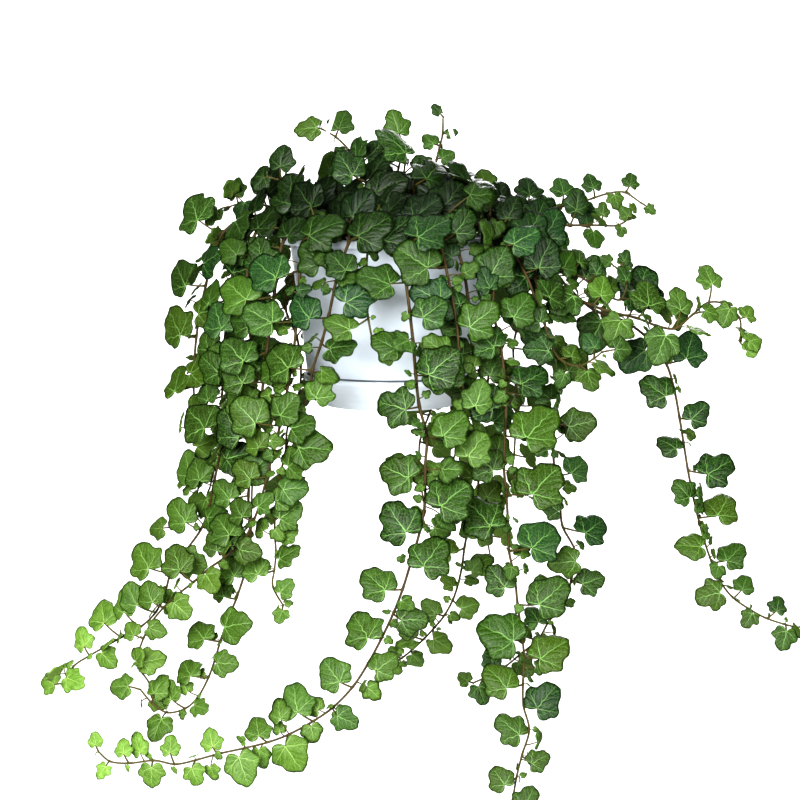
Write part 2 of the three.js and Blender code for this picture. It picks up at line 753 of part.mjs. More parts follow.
// Finds room for one leaf on a ring of its stem, bending and shrinking it until it is clear of all the rest.
function growLeaf(stem, rings, index) {
  const ring = rings[index];
  const random = randomFrom(7919 * (stems.indexOf(stem) + 1) + 131 * index);
  const last = index === rings.length - 1;
  const radial = new THREE.Vector3(ring.centre.x, ring.centre.y, 0).normalize();
  const faceTurn = ((stem.face ?? 0) * Math.PI) / 180;
  const outward =
    stem.face === undefined ? radial : new THREE.Vector3(Math.cos(faceTurn), Math.sin(faceTurn), 0);
  const light = outward.clone().multiplyScalar(0.85).addScaledVector(UP, 0.5).normalize();
  const aside = new THREE.Vector3().crossVectors(ring.tangent, light).normalize();
  const away = light.clone().addScaledVector(ring.tangent, -light.dot(ring.tangent)).normalize();
  const full = leafLength(stem, ring.share) * (0.72 + 0.42 * random());
  const hand = index % 2 ? 1 : -1;
  const jitter = (size) => (random() - 0.5) * 2 * size;
  for (let attempt = 0; attempt < TRIES; attempt++) {
    const flip = attempt % 3 === 2 ? -hand : hand;
    const spread = 0.3 + 0.04 * attempt;
    const length = full * (1 - 0.035 * attempt);
    const direction = away
      .clone()
      .multiplyScalar(0.75)
      .addScaledVector(aside, flip * (0.7 + jitter(spread)))
      .addScaledVector(ring.tangent, last ? 1.2 : 0.25 + jitter(spread))
      .normalize();
    const root = rootAt(rings, index, direction);
    const stalk = length * (0.32 + 0.4 * random() * (1 + attempt / TRIES));
    const base = middleOf(root.corners).addScaledVector(direction, stalk);
    const normal = light
      .clone()
      .addScaledVector(aside, jitter(spread))
      .addScaledVector(UP, jitter(spread))
      .addScaledVector(outward, 0.3 + jitter(spread))
      .normalize();
    const forward = aside
      .clone()
      .multiplyScalar(flip * (0.75 + jitter(0.5)))
      .addScaledVector(UP, (0.85 + jitter(0.4)) * (1 - Math.abs(aside.z)))
      .addScaledVector(ring.tangent, last ? 0.8 : 0);
    forward.addScaledVector(normal, -forward.dot(normal)).normalize();
    const rise = direction.dot(normal);
    if (rise < 0.3) base.addScaledVector(normal, (0.3 - rise) * stalk);
    const form = { width: 0.9 + 0.18 * random(), droop: 0.15 + 0.3 * random() };
    const corners = bladeAt(base, forward, normal, length, form);
    const faces = leafFaces(corners, root.corners);
    const blade = swollenBlade(corners, normal);
    const stalkRoom = swollenStalk(root.corners, base);
    const cap = [2, 1, 0].map((k) => corners.length + k);
    const leaf = solidFrom(flat([...corners, ...root.corners]), [...faces, cap].flat());
    const clear = isClear(blade) && isClear(stalkRoom, stem.name) && isClear(leaf, stem.name);
    blade.delete();
    stalkRoom.delete();
    if (!clear) {
      leaf.delete();
      continue;
    }
    take(leaf);
    return { index, side: root.side, tip: root.corners[2], corners, faces };
  }
  return null;
}

// One closed mesh of a stem and its leaves.
function plantGeometry(rings, leaves) {
  const points = rings.flatMap((ring) => ring.corners);
  const faces = [[2, 1, 0]];
  const leafAt = new Map(leaves.map((leaf) => [leaf.index, leaf]));
  const addLeaf = (leaf, root) => {
    const start = points.length;
    points.push(...leaf.corners);
    const inBlade = leaf.corners.length;
    const number = (corner) => (corner < inBlade ? start + corner : root[corner - inBlade]);
    faces.push(...leaf.faces.map((face) => face.map(number)));
  };
  for (let index = 0; index < rings.length - 1; index++) {
    const leaf = leafAt.get(index);
    for (let k = 0; k < 3; k++) {
      const a = 3 * index + k;
      const b = 3 * index + ((k + 1) % 3);
      const c = b + 3;
      const d = a + 3;
      if (leaf && leaf.side === k) {
        const far = points.length;
        points.push(leaf.tip);
        faces.push([b, c, far], [c, d, far], [d, a, far]);
        addLeaf(leaf, [a, b, far]);
      } else faces.push([a, b, c], [a, c, d]);
    }
  }
  const end = 3 * (rings.length - 1);
  if (leafAt.has(rings.length - 1)) addLeaf(leafAt.get(rings.length - 1), [end, end + 1, end + 2]);
  else faces.push([end, end + 1, end + 2]);
  const geometry = new THREE.BufferGeometry();
  geometry.setAttribute("position", new THREE.Float32BufferAttribute(flat(points), 3));
  geometry.setIndex(faces.flat());
  geometry.computeVertexNormals();
  return geometry;
}

// The soil: it fills the pot, with a plain hole where each stem stands.
function soilSolid() {
  const gap = POT_WALL + CLEARANCE;
  const wallAt = (drop) => POT_RADIUS - POT_TAPER * drop - gap;
  const bottom = POT_DEPTH - 3 - CLEARANCE;
  const profile = [
    [0, -bottom],
    [wallAt(bottom) - 1, -bottom],
    [wallAt(SOIL_TOP), -SOIL_TOP],
    [0, -SOIL_TOP],
  ];
  let soil = solidOf(turned(profile));
  for (const { route } of stems) {
    const hole = new THREE.CylinderGeometry(HOLE_RADIUS, HOLE_RADIUS, 2 * ROOT_DEPTH + 2, 3)
      .rotateX(Math.PI / 2)
      .rotateZ(Math.PI / 2)
      .translate(route[0][0], route[0][1], -SOIL_TOP);
    soil = soil.subtract(solidOf(hole));
  }
  return soil;
}

const pieces = [
  ["pot", potSolid(), plastic],
  ["saucer", saucerSolid(), plastic],
  ["hook", hookSolid(), plastic],
  ["soil", soilSolid(), peat],
  ...strapTurns.map((turn, k) => [`strap_${k + 1}`, solidOf(strapGeometry(turn)), plastic]),
];
for (const [name, solid, material] of pieces) {
  addPiece(name, geometryOf(solid), material);
  take(solid);
}

const plants = stems.map((stem, k) => {
  const rings = ringsOf(stem, randomFrom(104729 + k));
  const bare = plantGeometry(rings, []);
  take(solidFrom(bare.attributes.position.array, bare.index.array), stem.name);
  return { stem, rings };
});
for (const { stem, rings } of plants) {
  const leaves = [];
  for (let index = 1; index < rings.length; index++) {
    if (!rings[index].leafy) continue;
    const leaf = growLeaf(stem, rings, index);
    if (leaf) leaves.push(leaf);
  }
  addPiece(stem.name, plantGeometry(rings, leaves), stem.name.startsWith("shoot") ? young : leafy);
}

export default ivy;
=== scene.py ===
"""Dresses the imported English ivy: fine leaves on smooth stems, and a white pot, saucer, straps and hook.

Each leaf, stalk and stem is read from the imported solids, so every fine piece keeps its place and size.
"""
import math
import random
from contextlib import contextmanager
from functools import cache
from itertools import combinations

import bmesh
import bpy
import numpy as np
from bpy.props import FloatProperty, IntProperty
from bpy.types import Operator, Panel, PropertyGroup
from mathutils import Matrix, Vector
from mathutils.bvhtree import BVHTree


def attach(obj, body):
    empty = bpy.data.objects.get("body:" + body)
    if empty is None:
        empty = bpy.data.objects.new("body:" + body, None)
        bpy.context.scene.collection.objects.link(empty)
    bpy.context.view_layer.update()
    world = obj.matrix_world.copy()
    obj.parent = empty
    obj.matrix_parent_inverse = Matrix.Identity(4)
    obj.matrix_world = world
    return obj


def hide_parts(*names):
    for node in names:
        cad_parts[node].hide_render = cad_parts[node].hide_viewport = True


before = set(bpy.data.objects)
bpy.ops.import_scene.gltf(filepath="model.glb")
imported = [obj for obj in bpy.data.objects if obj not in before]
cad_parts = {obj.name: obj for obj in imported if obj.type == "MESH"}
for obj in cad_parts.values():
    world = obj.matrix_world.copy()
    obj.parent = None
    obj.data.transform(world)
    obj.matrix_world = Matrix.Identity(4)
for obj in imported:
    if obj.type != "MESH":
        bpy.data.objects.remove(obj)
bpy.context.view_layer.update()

bl_info = {
    "name": "Potted English Ivy",
    "version": (1, 0, 0),
    "blender": (4, 5, 0),
    "location": "View3D > Sidebar > Ivy",
    "description": "Builds the looks of a trailing ivy in a hanging pot around its packed solids",
    "category": "Object",
}

MM = 0.001
BODY = "root"
UP = Vector((0.0, 0.0, 1.0))
TURN = 6.28  # the range of a random phase, in radians
WELD = 1e-6  # points nearer than this are one

VINES = sorted(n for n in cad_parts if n.startswith(("vine_", "shoot_", "tuft_")))
# The vines with pale young tips, those that hang in the open and turn olive, and those whose leaves get
# painted shade.
PALE_TIPS = ("vine_left_long", "vine_front_trailing")
OLIVE_VINES = ("vine_front_slender", "vine_left_crossing", "vine_left_outer")
SHADE_PAINTED_VINES = ("shoot_", "tuft_", "vine_right_kinked", "vine_right_far", "vine_front_right")

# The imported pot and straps.
PACKED_SIDES = 24  # of the turned pot and saucer
RIM_HEIGHT = -0.312
POT_RADIUS = 0.096  # of the wall at the rim
POT_TAPER = 0.13  # how far the wall leans in for each metre down
GROOVE_DROP = 0.1311  # from the rim to the middle of the groove above the saucer
GROOVE_HALF_HEIGHT = 1.2 * MM
GROOVE_DEPTH = (0.3 * MM, 1.5 * MM)  # a face of the groove lies this far inside the wall
STRAP_FOOT_RADIUS = 0.0994
STRAP_LEAN = 0.36  # how far a strap leans in for each metre up
SOIL_FOOT = (0.092, -0.345)  # a stem's foot stands nearer the pot's axis and higher than these
STRAPS = ("strap_1", "strap_2", "strap_3")

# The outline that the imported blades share, in shares of a leaf's length: across and along.
CAD_HUB = 0.2
CAD_TIP = 0.95
CAD_SIDE_LOBE = (0.57, 0.34)
LOBE_CORNER = {9: 2, 11: 3}  # for a rim of so many corners, which one is the side lobe's tip
SAG_ACROSS = 0.9  # how far a drooping blade bends down sideways, and lengthwise
SAG_ALONG = 0.5
EVEN_SIDED = 0.1  # a stem's packed corners stand in threes whose sides differ by less than this share

# The same outline drawn finely, from the notch at the stalk round the right side to the tip.
FINE_OUTLINE = [
    (0.0, 0.06),
    (0.035, 0.0),
    (0.11, -0.08),
    (0.225, -0.14),
    (0.34, -0.135),
    (0.43, -0.06),
    (0.465, 0.035),
    (0.49, 0.105),
    (0.555, 0.165),
    (0.605, 0.26),
    (0.6, 0.36),
    (0.54, 0.445),
    (0.455, 0.5),
    (0.4, 0.555),
    (0.385, 0.63),
    (0.36, 0.74),
    (0.285, 0.85),
    (0.17, 0.935),
    (0.07, 0.98),
    (0.0, 0.995),
]
# How far each notch between two lobes may fill or deepen, its middle along the blade, and its reach.
NOTCHES = ((0.24, 0.57, 0.09), (0.1, 0.08, 0.06))
LOBINGS = 4  # steps from the deepest notches to the shallowest
# How many times the edge may bulge on its way round, and how far it does, in shares of the blade.
EDGE_BULGES = (((7, 8, 9), 0.022), ((12, 14, 16), 0.012))
EDGE_WAVES = (4, 5, 6)
LARGE_RINGS = (0.25, 0.5, 0.72, 0.88, 1.0)  # of a blade's points, from its middle to its rim
SMALL_RINGS = (0.35, 0.7, 1.0)
SMALL_SPOKES = 24
SHADOW_SPOKES = 16  # of the plain shape that tests whether an added leaf has room
LEAF_SLOT, STEM_SLOT = 0, 1  # of a plant's materials

# The main veins: the middle one, the side lobe's and the base lobe's.
VEIN_ORIGIN = 0.05  # where they part, along the middle line
VEIN_ANGLES = (90.0, 27.0, -30.0)  # in degrees from straight across
VEIN_LENGTHS = (0.95, 0.66, 0.46)
VEIN_WIDTHS = (0.016, 0.013, 0.01)
VEIN_TIP_WIDTH = 0.004
SIDE_VEIN_STEP = 0.23

STEM_SIDES = 8
STEM_STEPS = 5  # points of the smooth stem for each packed ring
STALK_SIDES = 6
STALK_RADIUS = {"packed": 0.9 * MM, "crown": 0.75 * MM, "small": 0.6 * MM, "leaflet": 0.4 * MM}
TIP_START, TIP_LENGTH = 0.55, 0.45  # of the young end, in shares of a vine's length

# The shaded crown's side, foot and top: where it starts, and how much further in it is full.
SHADE_SIDE = (0.19, 0.07)
SHADE_FOOT = (-0.1, 0.09)
SHADE_TOP = (0.09, 0.04)
TRIES = 5  # places that are tried for each added leaf
CROWD_BATCH = 40  # added leaves that are tested one by one before they go into one tree

BEVEL_SEGMENTS = 2
BEVEL_FROM = 35  # degrees by which an edge turns where it is rounded
SHARP_FROM = 50  # and where its shading stays sharp


class LeafSettings(PropertyGroup):
    thickness: FloatProperty(name="Blade thickness", default=0.0006, subtype="DISTANCE", unit="LENGTH",
                             description="How thick a blade is between its faces")
    quilting: FloatProperty(name="Quilting", default=0.016,
                            description="How far a blade swells between its veins, as a share of its length")
    wave: FloatProperty(name="Edge wave", default=0.035,
                        description="How far the edge waves up and down, as a share of a leaf's length")
    spokes: IntProperty(name="Spokes", default=48, description="Points around a blade")


class FillSettings(PropertyGroup):
    spacing: FloatProperty(name="Spacing", default=0.011, subtype="DISTANCE", unit="LENGTH",
                           description="Length of stem for each smaller leaf that is tried on it")
    smallest: FloatProperty(name="Smallest leaf", default=0.008, subtype="DISTANCE", unit="LENGTH",
                            description="Length of the smallest of the smaller leaves")
    largest: FloatProperty(name="Largest leaf", default=0.024, subtype="DISTANCE", unit="LENGTH",
                           description="Length of the largest of the smaller leaves")
    crown_leaves: IntProperty(name="Crown leaves", default=340,
                              description="Leaves on long stalks that are tried above the pot")


def linear(hex_colour):
    """A colour written as sRGB hex, as the linear red, green and blue that the shaders take."""
    channels = [int(hex_colour[k : k + 2], 16) / 255 for k in (1, 3, 5)]
    return tuple(c / 12.92 if c <= 0.04045 else ((c + 0.055) / 1.055) ** 2.4 for c in channels) + (1.0,)


# Shader helpers


def new_material(name, inputs, shown=None):
    """A material, its nodes and its Principled surface with these inputs; shown is its flat colour."""
    material = bpy.data.materials.new(name)
    material.use_nodes = True
    surface = material.node_tree.nodes["Principled BSDF"]
    for key, value in inputs.items():
        surface.inputs[key].default_value = value
    if shown:
        material.diffuse_color = linear(shown)
    return material, material.node_tree, surface


def add_node(tree, kind, inputs=None, **settings):
    """One shader node with its settings, each input either set or linked from another node's output."""
    node = tree.nodes.new(kind)
    for key, value in settings.items():
        setattr(node, key, value)
    for key, value in (inputs or {}).items():
        if isinstance(value, bpy.types.NodeSocket):
            tree.links.new(value, node.inputs[key])
        else:
            node.inputs[key].default_value = value
    return node


def maths(tree, operation, a, b=0.0, clamp=False):
    return add_node(tree, "ShaderNodeMath", {0: a, 1: b}, operation=operation, use_clamp=clamp).outputs[0]


def product(tree, a, b, clamp=False):
    return maths(tree, "MULTIPLY", a, b, clamp)


def mix(tree, share, a, b):
    return add_node(tree, "ShaderNodeMix", {0: share, 2: a, 3: b}).outputs[0]


def mix_colour(tree, share, a, b):
    """A mix of two colours, each written as sRGB hex or taken from another node's output."""
    a, b = (linear(c) if isinstance(c, str) else c for c in (a, b))
    return add_node(tree, "ShaderNodeMix", {0: share, 6: a, 7: b}, data_type="RGBA").outputs[2]


def ramp(tree, value, low, high, to_low=0.0, to_high=1.0):
    inputs = {0: value, 1: low, 2: high, 3: to_low, 4: to_high}
    return add_node(tree, "ShaderNodeMapRange", inputs, interpolation_type="SMOOTHSTEP").outputs[0]


def noise(tree, place, scale, detail):
    inputs = {"Vector": place, "Scale": scale, "Detail": detail}
    return add_node(tree, "ShaderNodeTexNoise", inputs).outputs[0]


def object_place(tree):
    return add_node(tree, "ShaderNodeTexCoord").outputs["Object"]


def roughen(tree, surface, height, strength, distance):
    """Bumps the surface by a height, on top of the bumps that it has."""
    inputs = {"Height": height, "Strength": strength, "Distance": distance}
    for link in surface.inputs["Normal"].links:
        inputs["Normal"] = link.from_socket
    bump = add_node(tree, "ShaderNodeBump", inputs)
    tree.links.new(bump.outputs[0], surface.inputs["Normal"])


# Materials


def vein_masks(tree, across, along, uneven):
    """Masks of a blade's main veins and side veins, and how far its skin swells between them."""
    nearest = main = side = swell = None
    for angle, length, width in zip(VEIN_ANGLES, VEIN_LENGTHS, VEIN_WIDTHS):
        cos, sin = math.cos(math.radians(angle)), math.sin(math.radians(angle))
        run = maths(tree, "ADD", product(tree, across, cos), product(tree, along, sin))
        off = maths(tree, "SUBTRACT", product(tree, across, sin), product(tree, along, cos))
        off = maths(tree, "ABSOLUTE", off)
        off = maths(tree, "ADD", off, ramp(tree, run, -0.04, 0.0, 1.0, 0.0))
        taper = ramp(tree, run, 0.0, length, width, VEIN_TIP_WIDTH)
        line = ramp(tree, maths(tree, "DIVIDE", off, taper), 0.4, 1.2, 1.0, 0.0)
        # Side veins leave a main vein at about 40 degrees, each 0.23 of the blade after the last.
        slant = maths(tree, "SUBTRACT", run, product(tree, maths(tree, "ADD", off, uneven), 1.2))
        slant = maths(tree, "PINGPONG", slant, SIDE_VEIN_STEP / 2)
        fading = ramp(tree, off, 0.02, 0.3, 1.0, 0.3)
        branch = product(tree, ramp(tree, slant, 0.002, 0.013, 1.0, 0.0), fading)
        dome = product(tree, ramp(tree, slant, 0.0, 0.4 * SIDE_VEIN_STEP), ramp(tree, off, 0.0, 0.09))
        if nearest is None:
            nearest, main, side, swell = off, line, branch, dome
            continue
        # Each part of the blade belongs to the main vein that is nearest.
        closer = maths(tree, "LESS_THAN", off, nearest)
        side = mix(tree, closer, side, branch)
        swell = mix(tree, closer, swell, dome)
        nearest, main = maths(tree, "MINIMUM", nearest, off), maths(tree, "MAXIMUM", main, line)
    return main, side, swell


def leaf_material():
    """A waxy ivy blade: dark green with pale veins above, dull olive below, yellow-green when young, with
    painted shade deep in the crown.
    """
    material, tree, surface = new_material("Ivy leaf", {"Specular IOR Level": 0.14}, "#2c5a22")
    uv = add_node(tree, "ShaderNodeUVMap", uv_map="leaf")
    split = add_node(tree, "ShaderNodeSeparateXYZ", {0: uv.outputs[0]})
    side = maths(tree, "SUBTRACT", split.outputs[0], 1.0)
    along = maths(tree, "SUBTRACT", maths(tree, "SUBTRACT", split.outputs[1], 1.0), VEIN_ORIGIN)
    tone = add_node(tree, "ShaderNodeAttribute", attribute_name="tone")
    kind = add_node(tree, "ShaderNodeSeparateColor", {0: tone.outputs[0]})
    youth, under, chance = kind.outputs
    olive = tone.outputs["Alpha"]

    # Each leaf's patches and net differ, so the pattern's third place comes from the leaf's own number.
    number = product(tree, chance, 40.0)
    place = add_node(tree, "ShaderNodeCombineXYZ", {0: side, 1: along, 2: number}).outputs[0]
    patches = noise(tree, place, 3.2, 3.0)
    # The finest veins close cells about 3 mm across on a 40 mm leaf.
    cells = {"Vector": place, "Scale": 13.0}
    net = add_node(tree, "ShaderNodeTexVoronoi", cells, feature="DISTANCE_TO_EDGE")
    fine = ramp(tree, net.outputs["Distance"], 0.0, 0.07, 1.0, 0.0)
    # The veins wander a little from straight lines, and bend up towards the tip.
    sway = ramp(tree, noise(tree, place, 4.5, 1.0), 0.25, 0.75, -0.022, 0.022)
    across = maths(tree, "ABSOLUTE", maths(tree, "ADD", side, sway))
    bent = maths(tree, "SUBTRACT", along, product(tree, product(tree, side, side), 0.16))
    # The side veins wander more, and start further out on one half than on the other.
    handed = product(tree, maths(tree, "GREATER_THAN", side, 0.0), 0.09)
    uneven = maths(tree, "ADD", product(tree, sway, 1.8), handed)
    veins, side_veins, swell = vein_masks(tree, across, maths(tree, "ADD", bent, sway), uneven)

    # Deep green with darker patches gives the grown leaf; a warmer green keeps neighbours apart.
    deep = mix_colour(tree, ramp(tree, patches, 0.35, 0.65), "#041402", "#0d2a06")
    warm = mix_colour(tree, ramp(tree, chance, 0.45, 0.95, 0.0, 0.75), deep, "#284208")
    # Some leaves have a cool grey-green bloom of wax instead.
    varied = mix_colour(tree, ramp(tree, chance, 0.0, 0.3, 0.7, 0.0), warm, "#16361c")
    # Painted shade: leaves deep in the crown and on the shaded vines are mixed towards near-black green;
    # those that hang in the open turn olive.
    old = mix_colour(tree, product(tree, olive, -1.0, clamp=True), varied, "#030b01")
    grown = mix_colour(tree, maths(tree, "ADD", olive, 0.0, clamp=True), old, "#364607")
    fresh = mix_colour(tree, ramp(tree, patches, 0.3, 0.7), "#4d7420", "#6a8f38")
    blade = mix_colour(tree, youth, grown, fresh)
    # The net is barely paler than the blade, the main veins clearly so, but less where shade is painted.
    pale = mix_colour(tree, youth, "#6d9650", "#a3b76e")
    vein_share = ramp(tree, olive, -1.0, 0.3, 0.2, 0.75)
    top = blade
    for mask, strength in ((fine, 0.36), (side_veins, 0.55), (veins, 1.0)):
        top = mix_colour(tree, product(tree, mask, product(tree, vein_share, strength)), top, pale)
    # The underside is duller and yellower.
    dull = mix_colour(tree, youth, "#38501a", "#647f33")
    beneath = mix_colour(tree, product(tree, veins, 0.5), dull, "#798a4f")
    colour = mix_colour(tree, under, top, beneath)
    tree.links.new(colour, surface.inputs["Base Color"])

    # The skin swells between the side veins, and the finest net pits it.
    roughen(tree, surface, maths(tree, "SUBTRACT", swell, product(tree, fine, 0.18)), 0.3, 0.0014)
    # A waxy skin shines above, less so below.
    tree.links.new(ramp(tree, under, 0.0, 1.0, 0.4, 0.65), surface.inputs["Roughness"])
    # Light that comes through the blade is brighter and yellower than what it reflects.
    glow = mix_colour(tree, 0.5, colour, "#6f8c18")
    through = add_node(tree, "ShaderNodeBsdfTranslucent", {"Color": glow})
    both = {0: 0.12, 1: surface.outputs[0], 2: through.outputs[0]}
    shader = add_node(tree, "ShaderNodeMixShader", both)
    tree.links.new(shader.outputs[0], tree.nodes["Material Output"].inputs["Surface"])
    return material


def stem_material():
    """Ivy stems: brown bark on the old wood, olive green on the young stem and the stalks."""
    inputs = {"Roughness": 0.55, "Specular IOR Level": 0.15}
    material, tree, surface = new_material("Ivy stem", inputs, "#4a3324")
    tone = add_node(tree, "ShaderNodeAttribute", attribute_name="tone")
    kind = add_node(tree, "ShaderNodeSeparateColor", {0: tone.outputs[0]})
    # Patches a few millimetres across break up the bark.
    bark = noise(tree, object_place(tree), 260.0, 4.0)
    wood = mix_colour(tree, bark, "#1a1405", "#453719")
    soft = mix_colour(tree, bark, "#363e10", "#4a3d1c")
    tree.links.new(mix_colour(tree, kind.outputs[0], wood, soft), surface.inputs["Base Color"])
    roughen(tree, surface, bark, 0.4, 0.0004)
    return material


def plastic_material(name, colour, roughness, ridges=False):
    """Moulded polypropylene: slightly uneven, lit a little from within, and with level ridges if asked."""
    inputs = {
        "Base Color": linear(colour),
        "Roughness": roughness,
        "Subsurface Weight": 0.12,
        "Subsurface Radius": (0.004, 0.004, 0.004),
        "Subsurface Scale": 0.5,
    }
    material, tree, surface = new_material(name, inputs, colour)
    place = object_place(tree)
    # The moulded face is uneven over a few centimetres.
    roughen(tree, surface, noise(tree, place, 40.0, 2.0), 0.06, 0.001)
    if ridges:
        # The saucer's mould left level ridges about 6 mm apart.
        bands = {"Vector": place, "Scale": 52.0}
        level = add_node(tree, "ShaderNodeTexWave", bands, wave_type="BANDS", bands_direction="Z")
        roughen(tree, surface, level.outputs["Fac"], 0.3, 0.0005)
    return material


def soil_material():
    """Moist peat mix: near-black brown crumbs with paler fibres."""
    material, tree, surface = new_material("Potting mix", {"Roughness": 0.95}, "#2a1c13")
    place = object_place(tree)
    crumbs = add_node(tree, "ShaderNodeTexVoronoi", {"Vector": place, "Scale": 320.0})
    colour = mix_colour(tree, noise(tree, place, 180.0, 6.0), "#150e0a", "#4a3424")
    tree.links.new(colour, surface.inputs["Base Color"])
    roughen(tree, surface, crumbs.outputs["Distance"], 1.0, 0.002)
    return material


def backdrop_material():
    """A bright, even white wall."""
    white = linear("#ffffff")
    inputs = {"Base Color": white, "Emission Color": white, "Emission Strength": 1.0}
    return new_material("White wall", inputs)[0]


def floor_material():
    """A pale matt floor."""
    return new_material("Pale floor", {"Base Color": linear("#e6e6e4"), "Roughness": 0.8})[0]


MAKERS = {
    "leaf": leaf_material,
    "stem": stem_material,
    "pot": lambda: plastic_material("White pot plastic", "#c9d2da", 0.3),
    "saucer": lambda: plastic_material("White saucer plastic", "#c9d2da", 0.3, ridges=True),
    # Painted shade: the dark face in the groove stands for the shadow in it.
    "groove": lambda: plastic_material("Groove painted shade", "#4b5054", 0.8),
    "hanger": lambda: plastic_material("White hanger plastic", "#f1f4f5", 0.28),
    "soil": soil_material,
    "backdrop": backdrop_material,
    "floor": floor_material,
}


@cache
def material_for(name):
    return MAKERS[name]()


def placed(name, data):
    """A new object of the scene that holds the data."""
    item = bpy.data.objects.new(name, data)
    bpy.context.scene.collection.objects.link(item)
    return item


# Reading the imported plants


class Blade:
    """A leaf's blade: the hub that it bends about, its directions, size and sag, and its stalk's root."""

    def __init__(self, hub, forward, normal, length, width, droop, root):
        self.hub, self.root = hub, root
        self.forward, self.normal, self.right = forward, normal, forward.cross(normal)
        self.length, self.width, self.droop = length, width, droop

    def place(self, across, along, lift=0.0):
        sag = self.droop * (SAG_ACROSS * across * across + SAG_ALONG * (along - CAD_HUB) ** 2)
        return (
            self.hub
            + self.right * (across * self.width * self.length)
            + self.forward * ((along - CAD_HUB) * self.length)
            + self.normal * ((lift - sag) * self.length)
        )


def packed_blade(top, under, ring, root):
    """The blade whose two middles and whose outline a packed leaf holds."""
    hub = (top + under) / 2
    normal = (top - under).normalized()
    count = len(ring)
    to_tip = ring[count // 2] - hub
    flat = to_tip - normal * to_tip.dot(normal)
    forward = flat.normalized()
    length = flat.length / (CAD_TIP - CAD_HUB)
    lobe = LOBE_CORNER[count]
    reach = (ring[lobe] - ring[count - 1 - lobe]).dot(forward.cross(normal)) / 2
    width = reach / (CAD_SIDE_LOBE[0] * length)
    droop = -to_tip.dot(normal) / (SAG_ALONG * (CAD_TIP - CAD_HUB) ** 2 * length)
    return Blade(hub, forward, normal, length, width, droop, root)


def ordered_ring(hub):
    """The vertices around a hub, anticlockwise seen from outside."""
    following = {}
    for face in hub.link_faces:
        corners = list(face.verts)
        at = corners.index(hub)
        following[corners[(at + 1) % 3]] = corners[(at + 2) % 3]
    start = next(iter(following))
    ring = [start]
    while following.get(ring[-1]) not in (None, start) and len(ring) <= len(following):
        ring.append(following[ring[-1]])
    return ring


def unevenness(corners):
    """How far three corners are from an even-sided triangle, as a share of a side."""
    sides = [(corners[k].co - corners[k - 1].co).length for k in range(3)]
    return (max(sides) - min(sides)) / max(sides)


def read_plant(node):
    """One packed vine's stem, as (middle, radius) pairs from the soil to the tip, and its leaves."""
    mesh = bmesh.new()
    mesh.from_mesh(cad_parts[node].data)
    bmesh.ops.remove_doubles(mesh, verts=mesh.verts, dist=WELD)
    neighbours = {v: [e.other_vert(v) for e in v.link_edges] for v in mesh.verts}
    leaves, blade = [], set()
    for v in mesh.verts:
        # A rim corner has four edges, apart from the two corners beside the stalk.
        count = len(v.link_edges)
        if count not in LOBE_CORNER or sum(len(w.link_edges) == 4 for w in neighbours[v]) != count - 2:
            continue
        ring = ordered_ring(v)
        ends = [w for w in ring if len(w.link_edges) != 4]
        shared = set(neighbours[ends[0]]) & set(neighbours[ends[1]])
        under = max((w for w in shared if w is not v and w not in ring), key=lambda w: len(w.link_edges))
        # The ring starts at the right of the stalk, so its last vertex is the left of the stalk.
        start = ring.index(ends[0]) if ring[ring.index(ends[0]) - 1] is ends[1] else ring.index(ends[1])
        ring = ring[start:] + ring[:start]
        roots = {w for e in (*ends, under) for w in neighbours[e]} - set(ring) - {v, under}
        root = sum((w.co for w in roots), Vector()) / len(roots)
        leaves.append(packed_blade(v.co.copy(), under.co.copy(), [w.co.copy() for w in ring], root))
        blade |= {v, under, *ring}
    widest, lowest = SOIL_FOOT
    rest = [w for w in mesh.verts if w not in blade]
    standing = [w for w in rest if math.hypot(w.co.x, w.co.y) < widest and w.co.z > lowest]
    foot = sorted(standing, key=lambda w: w.co.z)[:3]
    # A stem's corners come in even-sided threes; what else touches them belongs to a stalk's root.
    rings, seen, ring = [], set(foot), foot
    while ring:
        middle = sum((w.co for w in ring), Vector()) / 3
        rings.append((middle, (ring[0].co - middle).length))
        near = {w for v in ring for w in neighbours[v]} - blade - seen
        seen |= near
        ring = min(combinations(near, 3), key=unevenness, default=())
        if ring and unevenness(ring) > EVEN_SIDED:
            break
    mesh.free()
    return rings, leaves


# Building meshes


class Builder:
    """Gathers vertices, faces, leaf coordinates and tones of one piece."""

    def __init__(self):
        self.points, self.faces, self.uvs, self.tones, self.slots = [], [], [], [], []

    def add(self, points, faces, uvs, tones, slot):
        start = len(self.points)
        self.points += points
        self.uvs += uvs
        self.tones += tones
        self.faces += [tuple(start + k for k in face) for face in faces]
        self.slots += [slot] * len(faces)

    def finish(self, name, materials):
        mesh = bpy.data.meshes.new(name)
        mesh.from_pydata([tuple(p) for p in self.points], [], self.faces)
        for material in materials:
            mesh.materials.append(material)
        mesh.polygons.foreach_set("material_index", self.slots)
        mesh.polygons.foreach_set("use_smooth", [True] * len(self.faces))
        layer = mesh.uv_layers.new(name="leaf")
        corners = np.empty(len(mesh.loops), np.int32)
        mesh.loops.foreach_get("vertex_index", corners)
        layer.data.foreach_set("uv", np.array(self.uvs, np.float32)[corners].ravel())
        tone = mesh.color_attributes.new("tone", "FLOAT_COLOR", "POINT")
        tone.data.foreach_set("color", np.array(self.tones, np.float32).ravel())
        mesh.update()
        return placed(name, mesh)


def smooth_line(points, steps):
    """A curve through the points, with steps between each two and even turning."""
    out = []
    for k in range(len(points) - 1):
        p = [points[max(0, min(len(points) - 1, j))] for j in (k - 1, k, k + 1, k + 2)]
        for s in range(steps):
            t = s / steps
            a = 2 * p[1]
            b = (p[2] - p[0]) * t
            c = (2 * p[0] - 5 * p[1] + 4 * p[2] - p[3]) * t * t
            d = (3 * p[1] - p[0] - 3 * p[2] + p[3]) * t * t * t
            out.append((a + b + c + d) / 2)
    out.append(points[-1])
    return out


